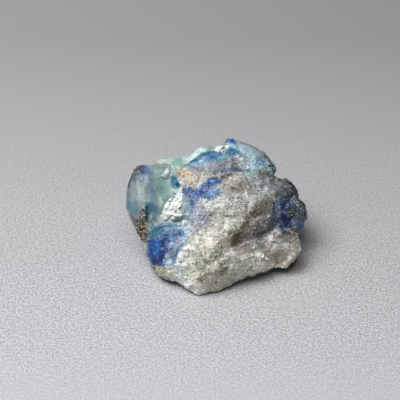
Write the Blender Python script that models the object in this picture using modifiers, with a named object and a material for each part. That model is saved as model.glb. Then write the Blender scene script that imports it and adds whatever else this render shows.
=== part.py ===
"""A small piece of afghanite: glassy blue mineral grown in a pale, sugary calcite matrix.

The stone is one solid. It is laid out face-on, as it is seen best: x to the right, y up the
face and z out of it. Each block below is the hull of the corners that one broken lump shows.
The blocks are fused, worn with lumps and hollows, tipped back and cut level underneath.
"""

import math

import bmesh
import bpy
from mathutils import Matrix, Vector, noise

MM = 0.001
STONE = "afghanite_stone"

# Driving dimensions, in millimetres and degrees
FACE_LEAN = 52.0  # how far the face is tipped back from upright when the stone lies at rest
FUSE_GRID = 0.32  # grid on which the blocks are fused
FUSE_PASSES, LAST_PASSES = 4, 1  # smoothing passes after the fusing and after the wear
SWELL = 0.22  # given back to the surface after the smoothing
LUMP_SIZE, LUMP_HEIGHT = 5.5, 0.34
FACET_SIZES, FACET_TILT = (4.2, 1.9), 0.12
FACET_SEED = 11  # decides which way each broken face tips
BASE_LEVEL = -7.87  # height of the level cut, counted from the middle of the face
CLEARANCE = 0.07  # no corner of the surface is left closer to the level cut than this
TRIANGLES = 8800
MATRIX_COLOUR = (0.56, 0.56, 0.52, 1.0)
MATRIX_ROUGHNESS = 0.62

# The corners of each block, in the layout frame (right, up, out)
MAIN_MASS = (
    (-5.8, 5.6, 0.9), (-0.4, 7.2, 1.2), (4.3, 7.9, 0.7), (8.8, 6.8, 0.0), (11.0, 5.2, -0.8),
    (11.2, 0.5, 0.4), (11.4, -2.5, 0.6), (1.6, 3.2, 3.8), (0.9, -1.3, 5.0), (-0.2, -4.9, 6.0),
    (-3.0, -8.2, 6.7), (8.3, 2.3, 2.0), (8.0, -1.8, 1.9), (4.3, -4.0, 3.5), (-5.4, -3.6, 5.7),
    (-6.4, -7.9, 6.0), (-7.7, -9.7, 4.5), (-3.6, -13.3, 4.9), (-5.6, 0.5, 3.6),
    (-8.5, -10.5, 0.7), (5.2, -8.8, -2.2), (-7.6, -5.0, -8.0), (7.6, -4.0, -9.6),
    (-7.0, 8.0, -7.5), (0.0, 6.9, -10.5), (9.0, 6.5, -9.0), (12.0, 1.0, -7.0),
)
LOWER_LEDGE = (
    (2.3, -6.1, 5.4), (7.0, -4.3, 3.7), (11.5, -2.5, 2.4), (14.4, -2.7, 0.9), (15.0, -4.0, 0.4),
    (14.7, -6.2, 0.3), (13.8, -7.8, 0.5), (12.3, -8.4, 0.7), (8.6, -8.8, 0.6), (4.9, -10.1, 1.2),
    (1.4, -11.4, 2.4), (-1.1, -13.1, 4.4), (-3.4, -13.7, 4.9), (-0.2, -9.0, 6.5),
    (-3.6, -10.3, 6.6), (6.1, -6.9, 4.3), (10.6, -6.0, 2.9), (2.0, -6.0, 0.0),
    (12.0, -3.0, -3.0), (13.0, -5.6, -2.2), (3.0, -9.0, -1.0),
)
GLASSY_LOBE = (
    (-13.9, 9.9, -2.5), (-15.4, 8.3, -2.0), (-15.9, 5.6, -1.0), (-16.3, 3.0, -0.5),
    (-15.9, 0.7, -0.5), (-14.9, -1.6, 0.0), (-13.4, -4.3, 0.5), (-12.6, 7.7, -0.4),
    (-12.9, 5.0, 1.4), (-12.8, 2.3, 2.1), (-12.4, -0.7, 2.4), (-11.9, -3.1, 2.8),
    (-10.1, 9.5, -2.5), (-9.2, 5.9, -0.5), (-13.0, 8.0, -7.0), (-14.0, 2.0, -7.0),
    (-12.0, -3.0, -5.5), (-9.0, -5.0, -6.0), (-8.0, 8.0, -8.0),
)
GLASSY_VALLEY = (
    (-12.2, 8.6, -1.2), (-5.0, 9.0, -1.6), (-11.8, 4.0, 1.5), (-5.0, 4.0, 0.6),
    (-11.6, -1.5, 2.4), (-5.0, -1.0, 2.4), (-12.0, 7.0, -6.0),
    (-5.0, 7.0, -6.0), (-11.0, -3.0, -5.0), (-5.0, -3.0, -5.0),
)
BLUE_LOBE = (
    (-13.2, -4.3, 0.6), (-12.4, -6.5, 0.6), (-11.4, -8.8, 1.0), (-9.9, -10.9, 1.8),
    (-7.9, -11.7, 2.5), (-11.5, -2.0, 3.5), (-9.2, -0.6, 4.3), (-6.4, -0.9, 4.6),
    (-10.3, -4.7, 5.0), (-7.4, -3.8, 5.5), (-9.6, -7.9, 4.8), (-5.9, -7.2, 6.0),
    (-7.4, -9.9, 4.8), (-11.0, -5.0, -4.0), (-8.0, -7.0, -3.0), (-5.0, -2.0, -2.0),
)
UPPER_RIDGE = (
    (-4.4, 11.3, -3.5), (-2.9, 12.4, -4.5), (-0.5, 13.0, -4.5), (1.3, 13.7, -4.5),
    (3.0, 14.1, -4.5), (5.6, 13.8, -5.0), (7.7, 12.6, -5.0), (9.8, 10.4, -4.5), (10.8, 8.7, -3.5),
    (-5.9, 7.0, -0.4), (-0.4, 8.6, 0.4), (4.3, 9.2, 0.1), (8.3, 8.2, -0.6), (-5.6, 9.7, -2.3),
    (-5.8, 4.8, 0.3), (9.6, 5.8, -1.0),
    (-4.0, 9.5, -9.5), (3.0, 12.2, -8.5), (8.0, 10.0, -9.5), (10.0, 6.0, -9.5),
)
RIGHT_SHOULDER = (
    (11.2, 7.5, -4.0), (13.3, 6.6, -4.5), (14.9, 5.1, -4.5), (16.3, 2.6, -4.0), (16.5, 1.1, -3.5),
    (15.9, -1.6, -2.5), (15.0, -3.2, -1.5), (10.3, 5.9, -1.2), (13.2, 4.0, -1.7),
    (14.6, 1.1, -0.9), (14.1, -1.8, 0.2), (10.8, 2.3, 0.7), (10.6, -2.4, 0.8),
    (13.0, 4.0, -9.0), (14.0, -1.0, -7.5), (9.0, 6.0, -10.0), (8.0, -3.0, -9.0),
)
BACK_SHELF = (
    (-11.8, 10.0, -4.0), (-10.0, 10.7, -6.0), (-7.7, 11.2, -7.0), (-4.7, 11.5, -7.5),
    (-11.5, 8.5, -2.5), (-5.0, 8.5, -2.0), (-10.0, 3.0, -8.6), (-3.0, 6.0, -9.2),
    (-9.0, -1.0, -8.5),
)
CALCITE_FOOT = (
    (-9.7, 0.1, 1.7), (-9.1, 2.3, 1.6), (-6.6, 2.7, 2.4), (-5.9, 0.1, 3.4), (-8.3, -0.3, 3.2),
    (-7.4, 2.2, 3.0), (-9.0, 0.2, -1.0), (-6.0, 2.5, -1.0), (-6.0, 0.0, -1.0),
)
CALCITE_SPUR = (
    (-7.7, 2.0, 1.4), (-7.1, 4.6, 1.1), (-5.7, 5.1, 1.6), (-5.5, 2.4, 2.9), (-6.6, 3.2, 2.6),
    (-7.5, 3.0, -1.0), (-5.6, 4.8, -1.0), (-5.5, 2.4, -1.0),
)
BLOCKS = (
    MAIN_MASS, LOWER_LEDGE, GLASSY_LOBE, GLASSY_VALLEY, BLUE_LOBE, UPPER_RIDGE, RIGHT_SHOULDER,
    BACK_SHELF, CALCITE_FOOT, CALCITE_SPUR,
)

# Soft knocks in the layout frame: centre, radius, and how far the surface moves out or in
KNOCKS = (
    ((4.4, -4.8, 3.8), 1.8, -0.9),  # pit where the ledge meets the face
    ((8.4, -2.7, 2.2), 2.2, -0.6),  # the pit runs on up the step
    ((1.2, 7.9, 0.9), 1.6, -0.6),  # crease over the face
    ((8.9, 8.0, -0.6), 1.4, -0.6),
    ((-3.2, 11.9, -7.0), 1.7, 0.9),  # pale bead behind the ridge
    ((-8.9, 5.6, 0.6), 2.6, -1.1),  # the glassy valley
    ((-10.6, 0.6, 2.0), 1.7, -0.9),  # its deep end, beside the white crystals
    ((2.0, 8.6, -11.0), 3.2, -1.3),  # the back is broken in shallow bowls
    ((-6.5, 3.2, -9.8), 3.4, -1.2),
    ((9.6, 3.0, -10.0), 2.8, -1.1),
    ((14.2, -0.6, -6.6), 2.4, -0.9),
    ((-13.0, 2.0, -6.8), 3.0, -0.8),
    ((0.8, 3.0, -11.2), 2.2, 0.8),
    ((6.2, 12.6, -8.6), 1.8, 0.6),
)

# Where the stone breaks smooth, like glass: centre and radius
GLASSY_SPOTS = (
    ((-13.8, 4.0, 0.0), 5.0), ((-9.3, 6.8, -0.6), 3.6), ((-8.0, 10.4, -5.0), 3.0),
    ((6.2, 12.6, -4.0), 2.6), ((-10.6, -1.0, 3.4), 2.2),
)


def clear_scene():
    for obj in list(bpy.data.objects):
        bpy.data.objects.remove(obj)


def add_hull(target, corners):
    """Adds the hull of the corners to the bmesh."""
    verts = [target.verts.new(Vector(corner) * MM) for corner in corners]
    made = bmesh.ops.convex_hull(target, input=verts)
    inside = {item for item in made["geom_interior"] if isinstance(item, bmesh.types.BMVert)}
    bmesh.ops.delete(target, geom=list(inside), context="VERTS")


def applied(obj):
    """The object's mesh is replaced by what its modifiers make of it."""
    graph = bpy.context.evaluated_depsgraph_get()
    mesh = bpy.data.meshes.new_from_object(obj.evaluated_get(graph))
    obj.modifiers.clear()
    obj.data = mesh
    mesh.name = obj.name


def fused_blocks():
    mesh = bpy.data.meshes.new(STONE)
    bm = bmesh.new()
    for corners in BLOCKS:
        add_hull(bm, corners)
    bm.to_mesh(mesh)
    bm.free()
    stone = bpy.data.objects.new(STONE, mesh)
    bpy.context.scene.collection.objects.link(stone)
    fuse = stone.modifiers.new("fuse", "REMESH")
    fuse.mode = "VOXEL"
    fuse.voxel_size = FUSE_GRID * MM
    smoothed(stone, FUSE_PASSES)
    return stone


def knocks_at(point):
    moved = 0.0
    for centre, radius, depth in KNOCKS:
        near = (point - Vector(centre)).length / radius
        moved += depth * math.exp(-near * near)
    return moved


def glassiness_at(point):
    return max(
        math.exp(-(((point - Vector(centre)).length / radius) ** 4))
        for centre, radius in GLASSY_SPOTS
    )


def facets_at(point, size):
    """Broken faces about this size: each cell of the stone tips its own way."""
    cell = noise.voronoi(point / size)[1][0]
    way = noise.noise_vector(cell * 9.7).normalized()
    return (point / size - cell).dot(way) * size * FACET_TILT


def roughness_at(point):
    rough = 1.0 - 0.85 * glassiness_at(point)
    lumps = noise.fractal(point / LUMP_SIZE, 1.0, 2.0, 2) * LUMP_HEIGHT
    return lumps + rough * sum(facets_at(point, size) for size in FACET_SIZES)


def smoothed(obj, passes):
    wear = obj.modifiers.new("wear", "SMOOTH")
    wear.iterations = passes
    wear.factor = 0.5
    applied(obj)


def weather(stone):
    mesh = stone.data
    normals = [v.normal.copy() for v in mesh.vertices]
    for vert, normal in zip(mesh.vertices, normals):
        point = vert.co / MM
        out = SWELL + knocks_at(point) + roughness_at(point)
        vert.co += normal * out * MM
    smoothed(stone, LAST_PASSES)


def thin_out(stone):
    thin = stone.modifiers.new("thin", "DECIMATE")
    thin.ratio = min(1.0, TRIANGLES / (2 * len(stone.data.polygons)))
    applied(stone)


def cut_level(mesh):
    """Cuts the underside flat, so that the stone stands as it lies."""
    level = BASE_LEVEL * MM
    for vert in mesh.vertices:
        if abs(vert.co.z - level) < CLEARANCE * MM:
            vert.co.z = level + math.copysign(CLEARANCE * MM, vert.co.z - level)
    bm = bmesh.new()
    bm.from_mesh(mesh)
    bmesh.ops.bisect_plane(
        bm, geom=bm.verts[:] + bm.edges[:] + bm.faces[:], dist=0.001 * MM,
        plane_co=(0.0, 0.0, level), plane_no=(0.0, 0.0, -1.0), clear_outer=True,
    )
    rim = [edge for edge in bm.edges if edge.is_boundary]
    bmesh.ops.triangle_fill(bm, edges=rim, use_beauty=True, normal=(0.0, 0.0, -1.0))
    bmesh.ops.triangulate(bm, faces=bm.faces[:])
    bmesh.ops.recalc_face_normals(bm, faces=bm.faces[:])
    bm.to_mesh(mesh)
    bm.free()


def set_down(mesh):
    """The middle of the footprint goes to the origin. Gives back how far the stone moved."""
    corners = [vert.co for vert in mesh.vertices]
    low = Vector(min(co[axis] for co in corners) for axis in range(3))
    high = Vector(max(co[axis] for co in corners) for axis in range(3))
    moved = -Vector(((low.x + high.x) / 2, (low.y + high.y) / 2, low.z))
    mesh.transform(Matrix.Translation(moved))
    return moved


def matrix_material():
    material = bpy.data.materials.new("calcite_matrix")
    material.use_nodes = True
    shader = material.node_tree.nodes["Principled BSDF"]
    shader.inputs["Base Color"].default_value = MATRIX_COLOUR
    shader.inputs["Roughness"].default_value = MATRIX_ROUGHNESS
    return material


def main():
    clear_scene()
    noise.seed_set(FACET_SEED)
    stone = fused_blocks()
    weather(stone)
    thin_out(stone)
    stone.data.transform(Matrix.Rotation(math.radians(FACE_LEAN), 4, "X"))
    cut_level(stone.data)
    moved = set_down(stone.data)
    stone.data.shade_smooth()
    stone.data.materials.append(matrix_material())
    parts = bpy.data.collections.new("afghanite")
    bpy.context.scene.collection.children.link(parts)
    bpy.context.scene.collection.objects.unlink(stone)
    parts.objects.link(stone)
    return moved


main()
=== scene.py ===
# A small piece of afghanite on a pale sheet: glassy blue mineral in a sugary calcite matrix.
# Places on the stone are given in mm on its broken face, as seen from straight in front of it:
# u runs right, w runs up the face, and d comes out of it.

import math

import bmesh
import bpy
import numpy as np
from mathutils import Matrix, Vector, noise
from mathutils.bvhtree import BVHTree


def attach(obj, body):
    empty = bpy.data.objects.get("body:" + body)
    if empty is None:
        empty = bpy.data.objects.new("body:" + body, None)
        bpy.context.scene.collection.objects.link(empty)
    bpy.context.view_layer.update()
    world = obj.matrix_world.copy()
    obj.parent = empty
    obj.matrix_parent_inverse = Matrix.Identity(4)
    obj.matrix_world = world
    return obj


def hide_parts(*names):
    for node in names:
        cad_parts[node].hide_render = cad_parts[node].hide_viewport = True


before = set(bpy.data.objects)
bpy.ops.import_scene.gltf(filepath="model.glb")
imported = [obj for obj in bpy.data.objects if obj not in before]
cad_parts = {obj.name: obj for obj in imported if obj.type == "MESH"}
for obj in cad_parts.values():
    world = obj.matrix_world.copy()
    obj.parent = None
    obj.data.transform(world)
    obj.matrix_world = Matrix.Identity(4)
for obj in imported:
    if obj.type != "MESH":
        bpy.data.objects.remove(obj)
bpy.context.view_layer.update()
print("frame loaded")

mm = 0.001

face = {
    "lean": 52.0,  # degrees that the face is tipped back from upright
    "middle": (-0.0657, -1.0879, 7.87),  # where u = w = d = 0 lies, in mm
    "seenFrom": (-2.88, 3.24, 230.0),  # u, w and d of the eye, in mm
    "seenWidth": 72.0,  # how much of it the picture takes in
}
lean = math.radians(face["lean"])
outDir = np.array((0.0, -math.sin(lean), math.cos(lean)))
faceAxes = np.array(((1.0, 0.0, 0.0), (0.0, math.cos(lean), math.sin(lean)), outDir))


def fromFace(u, w, d):
    # mm on the face to metres in the scene
    return Vector((np.array((u, w, d)) @ faceAxes + face["middle"]) * mm)


def flattened(solid):
    # mm in the scene to u and w, where what is nearer the eye looks further from the middle
    faceCo = (solid - face["middle"]) @ faceAxes.T
    eye = np.array(face["seenFrom"])
    spread = eye[2] / (eye[2] - faceCo[:, 2])
    return eye[:2] + (faceCo[:, :2] - eye[:2]) * spread[:, None]


def smooth(x, low, high):
    t = np.clip((x - low) / (high - low), 0.0, 1.0)
    return t * t * (3.0 - 2.0 * t)


def shiftOf(amount):
    # moves a noise, so that no two uses have the same lumps
    return Vector((amount, 1.7 * amount, -0.6 * amount))


def noiseOf(points, size, shift):
    # one value from -1 to 1 for each point, with lumps of this size
    offset = shiftOf(shift)
    return np.array([noise.noise(Vector(p) / size + offset) for p in points])


def cellsOf(points, size, shift=0.0):
    # for each point: the nearest cell's middle, and how far it is
    offset = shiftOf(shift)
    middles = np.empty((len(points), 3))
    near = np.empty(len(points))
    for index, point in enumerate(points):
        away, cells = noise.voronoi(Vector(point) / size + offset)
        middles[index] = cells[0]
        near[index] = away[0]
    return middles, near


def linear(colour):
    # a colour as it looks on screen, 0 to 255, to the light that it sends back
    c = np.asarray(colour, float) / 255.0
    return np.where(c <= 0.04045, c / 12.92, ((c + 0.055) / 1.055) ** 2.4)


# The stone

stone = {
    "grid": 0.178,  # how fine the surface is, in mm
    "smoothing": 5,
    "grain": 0.45,  # size and height of the sugary grains
    "grainHeight": 0.04,
    "grainReach": 0.42,  # where a grain's dome ends, in grains from its middle
    "flake": 1.5,  # size and tilt of the broken flakes
    "flakeTilt": 0.08,
    "pitting": 0.30,
    "pittingHeight": 0.02,
    "wave": 2.4,  # the soft waves of the glassy zones
    "waveHeight": 0.07,
    "markWander": (1.6, 0.32, 0.55, 0.18),  # how far the edges of the markings wander
    "frayed": (0.24, 0.32),  # the edges break up into grains of this size, this far
    "ground": (184, 184, 176),
    "mottle": ((1.3, 0.09), (0.45, 0.08)),  # sizes and strengths of the unevenness
    "speckle": (0.21, 0.10, 0.05, 0.04),  # size, strength, share of white specks, of dark ones
    "seed": 3,
    "grainTint": 0.11,  # how much one sugary grain differs from the next
    "streak": (0.55, 3.2),  # how wide and long the streaks in the glassy zones are
    "undercut": 0.95,  # mm
    "lift": 1.05,  # the markings are given as they look under this light
}

# Zones that break smooth and clear: path of (u, w, radius)
glassyZones = (
    [(-14.2, 7.4, 1.7), (-14.2, 5.4, 2.3), (-14.0, 1.6, 2.3), (-13.9, -0.6, 1.7)],
    [(-10.9, 8.3, 1.2), (-9.7, 5.9, 1.9), (-10.1, 2.2, 1.6), (-11.9, -0.2, 0.7)],
    [(-8.1, 8.0, 0.9), (-7.0, 6.6, 0.7), (-7.0, 5.6, 0.7)],
    [(-10.4, 10.3, 0.7), (-7.9, 10.5, 1.0), (-4.9, 10.7, 1.0), (-2.9, 12.3, 0.8)],
    [(4.9, 13.0, 0.9), (6.7, 12.8, 1.1), (7.6, 11.9, 0.9)],
    [(-11.9, -1.8, 0.6), (-9.0, -0.5, 0.8), (-5.8, -0.1, 0.6)],
    [(-4.3, 11.1, 0.5), (-2.0, 12.4, 0.6), (1.4, 13.3, 0.7)],
)

# Cracks and pits (below 0) and sharp crests (above 0): height, softness, path
creases = (
    (-0.45, 0.3, (-0.2, 7.1, 0.1), (0.9, 7.2, 0.2), (1.8, 7.7, 0.25), (2.8, 7.8, 0.1)),
    (-0.4, 0.5, (2.6, -2.8, 0.3), (3.8, -3.3, 0.3), (4.0, -4.4, 0.45), (3.5, -5.0, 0.3)),
    (-0.35, 0.5, (7.9, -3.2, 0.3), (9.7, -2.4, 0.2), (11.0, -1.0, 0.2)),
    (-0.4, 0.25, (-12.3, 1.8, 0.2), (-12.2, -0.6, 0.3), (-11.4, -1.6, 0.2)),
    (-0.1, 0.3, (-11.2, -2.4, 0.1), (-9.0, -1.6, 0.1), (-6.4, -1.4, 0.1)),
    (-0.2, 0.4, (-6.3, -5.2, 0.1), (-7.2, -6.9, 0.15), (-7.9, -8.5, 0.1)),
    (0.25, 0.3, (3.0, -5.5, 0.1), (6.4, -4.4, 0.15), (9.8, -2.6, 0.15), (13.4, -2.2, 0.15)),
    (-0.3, 0.25, (-6.9, 6.0, 0.1), (-6.2, 5.3, 0.1), (-6.0, 4.6, 0.1)),
    (-0.35, 0.35, (-4.9, 9.8, 0.1), (-3.4, 10.3, 0.1), (-1.6, 10.9, 0.1)),
    (-0.2, 0.3, (4.0, 12.9, 0.1), (4.4, 11.6, 0.1), (6.6, 10.8, 0.1)),
    (0.35, 0.5, (2.3, 13.8, 0.1), (2.9, 13.9, 0.1), (3.3, 13.6, 0.1)),
    (-0.15, 0.6, (10.4, 6.4, 0.2), (11.2, 4.0, 0.1), (11.0, 0.6, 0.1)),
    (0.4, 0.8, (8.6, 12.0, 0.2), (9.8, 10.4, 0.3), (10.4, 8.8, 0.2)),
    (0.35, 0.8, (15.9, 2.4, 0.2), (16.1, 1.0, 0.3), (16.0, 0.2, 0.2)),
    (-0.3, 1.0, (13.6, 6.4, 0.2), (14.9, 5.2, 0.3), (15.3, 4.2, 0.2)),
    (-0.45, 0.6, (4.6, -11.5, 0.1), (8.4, -10.4, 0.2)),
    (-0.25, 1.0, (-13.1, 6.4, 0.3), (-13.0, 2.6, 0.3)),
    (0.6, 0.7, (12.4, -8.6, 0.2), (13.4, -7.8, 0.3), (14.0, -6.8, 0.1)),
)

brush = 0.18  # mm, the unit of the radius and softness of the markings

# Markings on the face, a table for each zone:
# name, red, green, blue, strength, softness, path of dabs (u, w, radius)

lowMatrix = (
    ("ground", 158, 158, 146, 1, 10, (-2.9, -7.9, 18), (1.1, -8.6, 16), (-0.7, -11.5, 12)),
    ("blue lobe", 86, 124, 156, 1, 4, (-10.8, -2.3, 7), (-8.3, -2.5, 10), (-6.1, -2.5, 5), (-10.1, -5, 11),
     (-10.8, -6.8, 9), (-9.4, -7.6, 7)),
)
grounds = (
    ("ridge", 128, 146, 158, 1, 5, (-4.7, 9.5, 4), (-2.9, 10.4, 6), (-0.4, 11.5, 9), (2.9, 11.7, 13),
     (6.1, 11.2, 14), (8.3, 9.7, 11), (9.4, 8.3, 8)),
    ("ridge grey", 142, 146, 147, 1, 5, (-4.3, 9, 4), (-1.6, 9.4, 5), (1.1, 9.7, 7), (3.6, 9.7, 7),
     (5.8, 9.5, 5)),
    ("valley", 136, 163, 160, 1, 2.5, (-11.9, 8.3, 6), (-10.1, 6.8, 14), (-9.4, 4, 14), (-10.8, 1.8, 10),
     (-7.2, 7.2, 5)),
    ("crust", 112, 115, 108, 1, 3, (-14.8, 0.4, 2.4), (-14.4, -0.7, 3.6), (-13.9, -2.2, 3.2),
     (-13.5, -3.6, 3)),
)
paleBelt = (
    ("pale belt", 205, 204, 191, 0.9, 9, (-5.8, -11.2, 7), (-4.3, -7.9, 6), (-2.9, -4.7, 9), (-0.7, -2.5, 9),
     (2.5, -0.7, 8)),
    ("bright patch", 214, 213, 200, 0.6, 6, (-0.5, -1.8, 4), (-2.3, -3.6, 4), (-4.5, -6.5, 3)),
    ("bulge patch", 202, 206, 194, 0.7, 6, (3.2, -0.7, 5)),
)
midMatrix = (
    ("speckled bulge", 182, 180, 172, 0.8, 7, (-0.7, 1.8, 7), (1.4, 1.3, 8), (3.6, 2.2, 6)),
    ("pale bulge top", 176, 180, 174, 0.7, 6, (-1.8, 2.7, 4), (0, 3.1, 4)),
    ("taupe", 150, 148, 140, 0.95, 7, (1.8, 5.6, 6), (4.3, 5, 8), (5.8, 5.8, 6)),
    ("dark taupe", 126, 119, 106, 0.6, 4, (3.1, 5.6, 3), (4.9, 5.2, 4)),
    ("pale, right", 160, 166, 158, 0.95, 6, (6.5, 4, 5), (8.3, 4.7, 7), (10.1, 4.3, 5)),
    ("pale band", 204, 205, 198, 0.9, 5, (3.2, 3.1, 4), (5.4, 3.4, 4)),
    ("grey dip", 154, 154, 146, 0.6, 5, (1.1, 0.7, 5), (-0.4, 0, 4)),
    ("belt dip", 150, 150, 138, 0.8, 6, (-3.1, -7.7, 4)),
    # painted light: the bulge's edge turns down and away from the lamps, and is painted lighter
    ("bulge edge, painted light", 210, 210, 198, 0.6, 5, (4.5, 0, 3), (3.8, -0.9, 2)),
    ("lavender", 154, 158, 172, 0.85, 4, (6.5, 6.5, 3), (8.5, 6.1, 4), (10.1, 5.8, 3)),
    ("violet fleck", 92, 94, 136, 0.6, 2, (8.1, 5.7, 1.4)),
    ("pale fleck", 206, 210, 214, 0.8, 1.8, (9, 5.1, 1.6)),
)
ledge = (
    ("ground", 144, 142, 134, 1, 5, (1.8, -8.3, 9), (5.4, -7.2, 12), (8.6, -5.9, 14), (12.6, -5, 16)),
    ("lilac", 164, 160, 160, 0.8, 5, (2.3, -5.9, 4), (4.3, -5.6, 4), (6.5, -5, 4)),
    ("pink rim", 174, 160, 158, 0.6, 2.5, (3.2, -5.4, 2), (5.4, -4.7, 2)),
    ("sage", 160, 163, 150, 0.8, 6, (4.3, -8.6, 6), (6.5, -6.8, 5), (2.9, -9.7, 5)),
    ("dark sage", 134, 138, 124, 0.6, 4, (1.4, -8.5, 4), (4, -7.7, 4)),
    ("front", 178, 178, 166, 0.8, 5, (3.2, -10.3, 4), (5.8, -9.5, 4), (8.3, -8.5, 4)),
    ("light grey", 170, 169, 165, 0.8, 4, (9, -3.6, 4), (10.4, -4, 4), (12.2, -4.5, 4)),
    ("brown", 120, 115, 105, 0.8, 4, (11.2, -2.9, 3), (12.8, -3.1, 4), (14.2, -3.8, 3)),
    ("grey below", 140, 137, 127, 0.7, 4, (10.1, -6.3, 4), (11.7, -6.8, 4), (13.3, -6.7, 3)),
    ("pale right", 168, 165, 156, 0.7, 4, (13.9, -5, 3), (13.7, -6.5, 2.5)),
    ("cream edge", 176, 173, 152, 0.8, 3, (8.6, -8.8, 2.5), (10.8, -8.5, 2.5), (12.8, -8.5, 2.5)),
    ("pale top", 160, 157, 153, 0.6, 2.5, (10.4, -2.3, 1.6), (11.9, -2.1, 1.6), (13.5, -2.3, 1.6)),
    ("low light", 214, 213, 196, 0.8, 4, (8.1, -7.7, 3), (8.1, -9, 2)),
    # painted shade: the top of the ledge is painted dark where its shape catches the light
    ("top", 98, 96, 91, 0.9, 5, (4.5, -6.1, 2.5), (5.6, -5.6, 4), (6.8, -4.9, 4.5), (8.1, -4, 3)),
    ("white", 228, 225, 210, 0.95, 2.5, (8.1, -6.7, 2.2), (8.8, -7.5, 2.6), (7.9, -7.7, 2)),
)
lowFoot = (
    ("ground", 182, 178, 166, 1, 5, (-10.1, -10.1, 5), (-7.9, -10.4, 5), (-5.8, -11.7, 7), (-3.2, -13, 6)),
    ("taupe", 162, 159, 148, 0.9, 7, (-1.3, -9.7, 5), (-2.3, -11.2, 6), (-1.1, -12.4, 5), (1.1, -11, 5)),
    ("brown", 106, 93, 76, 0.7, 3, (-1.8, -9.4, 2), (-2.2, -10.4, 2), (-2.7, -11.3, 1.6)),
    ("green grey", 138, 142, 127, 0.6, 4, (0.7, -8.6, 4), (1.4, -9.7, 3)),
    ("pink", 196, 186, 179, 0.6, 3, (-1.9, -11.4, 2), (-1.1, -10.8, 1.6)),
    ("pale", 202, 200, 190, 0.9, 6, (-5.8, -11.3, 5), (-4.3, -12.8, 5), (-2.9, -13.3, 3)),
    ("light", 214, 212, 210, 0.8, 4, (-8.3, -10.3, 2.5)),
    ("cream", 242, 238, 226, 0.8, 4, (-7.2, -10.8, 3), (-6.1, -11.9, 3)),
)
brownBand = (
    ("band", 112, 106, 95, 1, 5, (10.1, 2.5, 3), (8.5, 2, 5), (7.2, 0.7, 5), (6.1, -0.7, 5), (4.9, -2.3, 5),
     (3.6, -3.8, 4), (1.8, -4.1, 2.6)),
    ("band, dark", 86, 80, 67, 0.7, 3.5, (9.7, 2.7, 2), (8.5, 2.3, 3), (7.4, 1.1, 3), (6.7, 0, 2.5)),
    ("band, dark, low", 92, 86, 72, 0.6, 3.5, (5.6, -2, 1.8), (4.3, -3.4, 2.6), (3.2, -4.3, 2)),
    ("pale patch", 176, 169, 158, 0.85, 2.5, (6.7, -0.9, 2.8), (7.6, -0.4, 2)),
    ("lower pale patch", 156, 148, 134, 0.8, 2.5, (5.2, -2.3, 2.4), (5.9, -2, 2)),
    # painted light: these two edges turn down and away from the lamps, and are painted lighter
    ("edge light", 204, 204, 192, 0.7, 4, (4.5, -0.2, 2.5), (4, -1.4, 1.5)),
    ("low edge light", 196, 194, 180, 0.7, 4, (1.6, -5.2, 3)),
    ("grey", 114, 112, 113, 0.95, 4, (6.1, -3.2, 4), (8.3, -1.6, 6), (9.7, -0.2, 5), (9.9, 1.1, 3.5)),
    ("spot on it", 148, 148, 150, 0.7, 2, (8.5, -1.1, 2)),
    ("low spot", 148, 148, 150, 0.7, 2, (6.8, -3.2, 1.8)),
    ("top spot", 148, 148, 150, 0.7, 2, (9.5, 0.4, 1.4)),
    ("green border", 80, 88, 88, 0.85, 3, (9.9, -1.6, 2.5), (10.6, 0.7, 3), (10.8, 2.5, 2.5)),
)
pits = (
    ("brown", 86, 78, 68, 0.6, 2.5, (2.7, -4.1, 1.2), (3.6, -4.6, 1.6), (4.9, -3.8, 1)),
    ("red brown", 98, 78, 66, 0.5, 2, (3.2, -4.9, 1.6), (4.5, -5.3, 1.6)),
    ("green edge", 140, 138, 120, 0.4, 3.5, (1.8, -4.5, 2.5), (2.7, -3.1, 2)),
    ("black", 40, 41, 44, 0.9, 2.2, (7.6, -3.3, 1.6), (8.8, -2.9, 2), (10.1, -2.2, 1.4)),
)
upperBand = (
    ("dark grey", 112, 112, 110, 0.7, 4, (-3.6, 8.6, 2), (-1.4, 8.5, 2.5), (0.4, 9.9, 3), (2.5, 9.7, 3),
     (4.3, 9, 2.5)),
    ("teal grey", 116, 134, 142, 0.7, 4, (1.1, 10.8, 3), (2.9, 10.6, 3)),
    ("lilac", 152, 150, 156, 0.6, 4, (-2.5, 9.2, 3), (-0.4, 9, 3)),
    ("pale", 174, 183, 190, 0.7, 3, (2.2, 9, 2)),
    ("pale right", 176, 186, 194, 0.7, 3, (4.9, 9.9, 3), (5.8, 9.4, 2)),
    ("white streak", 206, 208, 212, 0.85, 2, (3.6, 11.2, 1), (4.2, 10.8, 1.4), (4.6, 10.4, 0.8)),
    ("lower white streak", 212, 212, 214, 0.8, 1.8, (5.5, 8.7, 0.9), (5.8, 9, 0.9)),
    ("lavender line", 98, 114, 142, 0.75, 2.5, (-0.5, 8.4, 1.6), (1.4, 8.5, 1.8), (3.6, 8.5, 1.8),
     (4.9, 8.3, 1.6)),
    ("pale below it", 160, 165, 158, 0.75, 3, (-0.4, 7.7, 2), (3.2, 7.6, 2.5), (5.6, 7.4, 2.5)),
    # a crack, darkened further by a painted shadow of the small step there
    ("crack with painted step shadow", 60, 54, 48, 0.95, 1.8, (-1.4, 7.1, 0.8), (-0.2, 7.1, 1.1), (0.9, 7.1, 1.3),
     (1.8, 7.6, 1.4), (2.7, 7.9, 1)),
    ("brown by it", 122, 112, 100, 0.7, 3, (0.9, 6.8, 2), (1.8, 7.3, 2)),
)
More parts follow.
